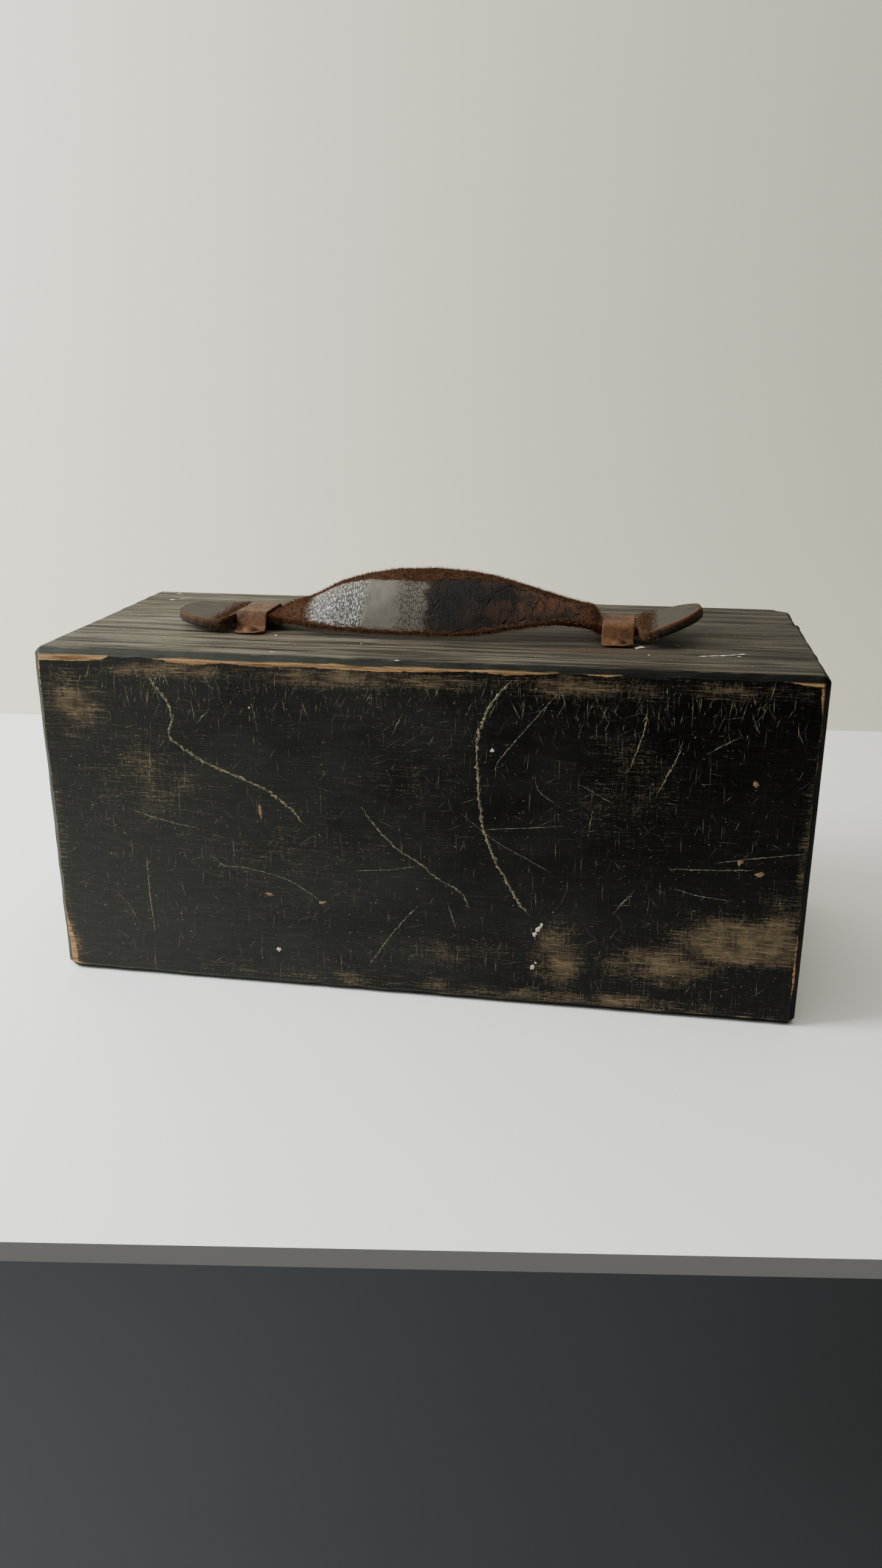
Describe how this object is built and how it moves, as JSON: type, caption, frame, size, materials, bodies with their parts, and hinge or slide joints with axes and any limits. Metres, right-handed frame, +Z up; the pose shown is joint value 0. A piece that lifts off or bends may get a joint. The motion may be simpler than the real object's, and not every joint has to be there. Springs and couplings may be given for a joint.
{
  "type": "wooden microscope case",
  "caption": "Low wooden carrying case with bevelled edges, a hinged lid held by swing hooks, a leather strap handle in two iron clips, and cradles inside for a microscope.",
  "frame": {"origin": "under the middle of the closed case, on the surface it stands on", "axes": "+X along the case, -Y out of the big plain board that the picture shows, +Y out of the lid, +Z up towards the strap"},
  "size_m": [0.305, 0.131, 0.1676],
  "materials": {
    "black_wood": "old black paint, worn and scratched, grey on the strap side",
    "bare_wood": "bare planed wood",
    "felt": "felt",
    "rusty_iron": "rusty sheet iron",
    "brass": "tarnished",
    "steel": "dull",
    "leather": "cracked old harness leather"
  },
  "bodies": {
    "case": {"front_board": "black_wood", "top_rail": "black_wood", "bottom_rail": "black_wood", "left_end": "black_wood", "right_end": "black_wood", "case_pins": "steel", "foot_cradle": "bare_wood", "foot_felt": "felt", "tube_cradle": "bare_wood", "tube_felt": "felt", "accessory_block": "bare_wood", "clip_left": "rusty_iron", "clip_right": "rusty_iron", "clip_rivets": "rusty_iron", "hook_pivots": "brass", "hinge_leaf_left": "brass", "hinge_leaf_right": "brass", "hinge_pins": "steel", "hinge_screws": "brass", "strap_end_left": "leather", "strap_end_right": "leather", "button_screw": "brass"},
    "strap": {"strap_grip": "leather", "strap_neck_left": "leather", "strap_neck_right": "leather"},
    "button": {"turn_button": "bare_wood"},
    "left_hook": {"hook_left": "brass"},
    "right_hook": {"hook_right": "brass"},
    "lid": {"lid_board": "black_wood", "lid_top_rail": "black_wood", "lid_bottom_rail": "black_wood", "lid_left_end": "black_wood", "lid_right_end": "black_wood", "lid_pins": "steel", "lid_felt": "felt", "lid_leaf_left": "brass", "lid_leaf_right": "brass", "lid_screws": "brass", "hook_studs": "brass"}
  },
  "joints": [
    {"name": "lid_hinge", "type": "hinge", "parent": "case", "child": "lid", "pos_m": [0, 0.0295, 0.0026], "axis": [-1, 0, 0], "range_deg": [0, 95]},
    {"name": "strap_tilt", "type": "hinge", "parent": "case", "child": "strap", "pos_m": [0, -0.0105, 0.1464], "axis": [-1, 0, 0], "range_deg": [0, 55], "deforming": ["strap_neck_left", "strap_neck_right"]},
    {"name": "left_hook_swing", "type": "hinge", "parent": "case", "child": "left_hook", "pos_m": [-0.03, 0.017, 0.1416], "axis": [0, 0, 1], "range_deg": [0, 100]},
    {"name": "right_hook_swing", "type": "hinge", "parent": "case", "child": "right_hook", "pos_m": [0.03, 0.017, 0.1416], "axis": [0, 0, -1], "range_deg": [0, 100]},
    {"name": "button_turn", "type": "hinge", "parent": "case", "child": "button", "pos_m": [0.062, 0.008, 0.0957], "axis": [0, 1, 0], "range_deg": [0, 180]}
  ]
}
